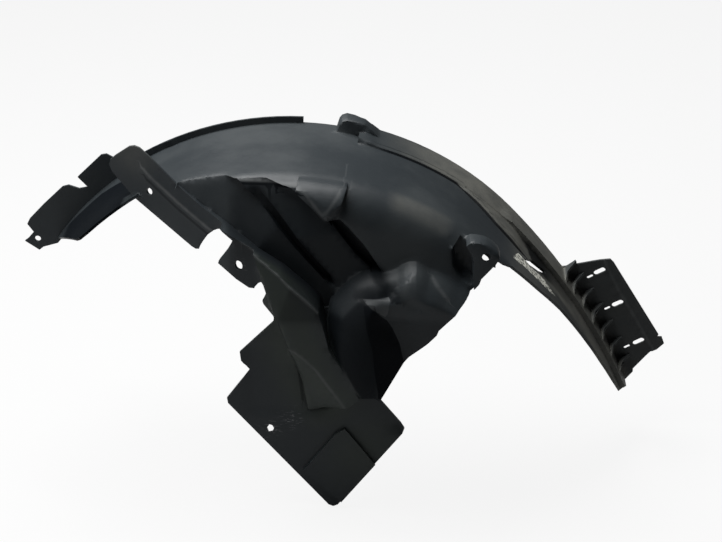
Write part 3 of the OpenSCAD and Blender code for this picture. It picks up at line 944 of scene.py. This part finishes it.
def soft_lamp(name, place, target, size, power):
    lamp = bpy.data.lights.new(name, "AREA")
    lamp.shape = "RECTANGLE"
    lamp.size, lamp.size_y = size
    lamp.energy = power
    obj = bpy.data.objects.new(name, lamp)
    obj.location = place
    obj.rotation_euler = (Vector(target) - obj.location).to_track_quat("-Z", "Y").to_euler()
    bpy.context.scene.collection.objects.link(obj)


def camera_sees_white(tree, lit, share):
    """Mixes plain white into what the camera sees, straight or through a clear piece."""
    path = tree.nodes.new("ShaderNodeLightPath")
    seen = larger(tree, path.outputs["Is Camera Ray"], path.outputs["Is Transmission Ray"])
    white = tree.nodes.new("ShaderNodeEmission")
    white.inputs["Color"].default_value = (1, 1, 1, 1)
    white.inputs["Strength"].default_value = 1.0
    mix = tree.nodes.new("ShaderNodeMixShader")
    link(tree, times(tree, seen, share), mix.inputs[0])
    link(tree, lit, mix.inputs[1])
    link(tree, white.outputs[0], mix.inputs[2])
    return mix.outputs[0]


def empty_tree(owner):
    """Turns a material's or world's nodes on, and clears them."""
    owner.use_nodes = True
    owner.node_tree.nodes.clear()
    return owner.node_tree


def make_floor(context, pale):
    bm = bmesh.new()
    bmesh.ops.create_grid(bm, x_segments=1, y_segments=1, size=FLOOR_HALF)
    bmesh.ops.translate(bm, verts=bm.verts, vec=(0, 0, CAD_BOX[0][2] - FLOOR_GAP))
    mesh = bpy.data.meshes.new("floor")
    bm.to_mesh(mesh)
    bm.free()
    floor = bpy.data.objects.new("floor", mesh)
    context.scene.collection.objects.link(floor)
    paint = bpy.data.materials.new("pale floor")
    tree = empty_tree(paint)
    matt = tree.nodes.new("ShaderNodeBsdfDiffuse")
    matt.inputs["Color"].default_value = (pale, pale, pale, 1)
    out = tree.nodes.new("ShaderNodeOutputMaterial")
    link(tree, camera_sees_white(tree, matt.outputs[0], FLOOR_WHITE), out.inputs["Surface"])
    mesh.materials.append(paint)


def make_surroundings(context, strength):
    world = bpy.data.worlds.new("surroundings")
    context.scene.world = world
    tree = empty_tree(world)
    around = tree.nodes.new("ShaderNodeBackground")
    around.inputs["Color"].default_value = (1, 1, 1, 1)
    around.inputs["Strength"].default_value = strength
    out = tree.nodes.new("ShaderNodeOutputWorld")
    link(tree, camera_sees_white(tree, around.outputs[0], 1.0), out.inputs["Surface"])


def make_camera(context):
    camera = bpy.data.cameras.new("camera")
    camera.lens = CAMERA_LENS
    camera.sensor_width = 36.0
    camera.sensor_fit = "HORIZONTAL"
    eye = bpy.data.objects.new("camera", camera)
    eye.location = CAMERA_PLACE
    eye.rotation_euler = CAMERA_TURN
    context.scene.collection.objects.link(eye)
    context.scene.camera = eye


class LINER_OT_studio(bpy.types.Operator):
    """Makes the floor, the surroundings, the lamps and the camera"""
    bl_idname = "liner.studio"
    bl_label = "Studio"

    def execute(self, context):
        studio = context.scene.liner_studio
        make_floor(context, studio.floor)
        make_surroundings(context, studio.sky)
        middle = tuple((a + b) / 2 for a, b in zip(*CAD_BOX))
        soft_lamp("key lamp", KEY_PLACE, middle, KEY_SIZE, studio.key)
        soft_lamp("fill lamp", FILL_PLACE, middle, FILL_SIZE, studio.fill)
        make_camera(context)
        context.scene.view_settings.view_transform = "Standard"
        return {"FINISHED"}


class LINER_PT_panel(bpy.types.Panel):
    """Lists the liner's sizes, colours and steps"""
    bl_idname = "LINER_PT_panel"
    bl_label = "Wheel arch liner"
    bl_space_type = "VIEW_3D"
    bl_region_type = "UI"
    bl_category = "Liner"

    def draw(self, context):
        for group in ("liner_sizes", "liner_colours", "liner_studio"):
            settings = getattr(context.scene, group)
            for name in settings.bl_rna.properties.keys():
                if name not in ("rna_type", "name"):
                    self.layout.prop(settings, name)
        self.layout.operator(LINER_OT_moulding.bl_idname)
        self.layout.operator(LINER_OT_studio.bl_idname)


CLASSES = (LinerSizes, LinerColours, StudioSizes, LINER_OT_moulding, LINER_OT_studio,
           LINER_PT_panel)


def register():
    for cls in CLASSES:
        bpy.utils.register_class(cls)
    bpy.types.Scene.liner_sizes = PointerProperty(type=LinerSizes)
    bpy.types.Scene.liner_colours = PointerProperty(type=LinerColours)
    bpy.types.Scene.liner_studio = PointerProperty(type=StudioSizes)


def unregister():
    for name in ("liner_sizes", "liner_colours", "liner_studio"):
        delattr(bpy.types.Scene, name)
    for cls in reversed(CLASSES):
        bpy.utils.unregister_class(cls)


def main():
    register()
    bpy.ops.liner.moulding()
    bpy.ops.liner.studio()


if __name__ == "__main__":
    main()
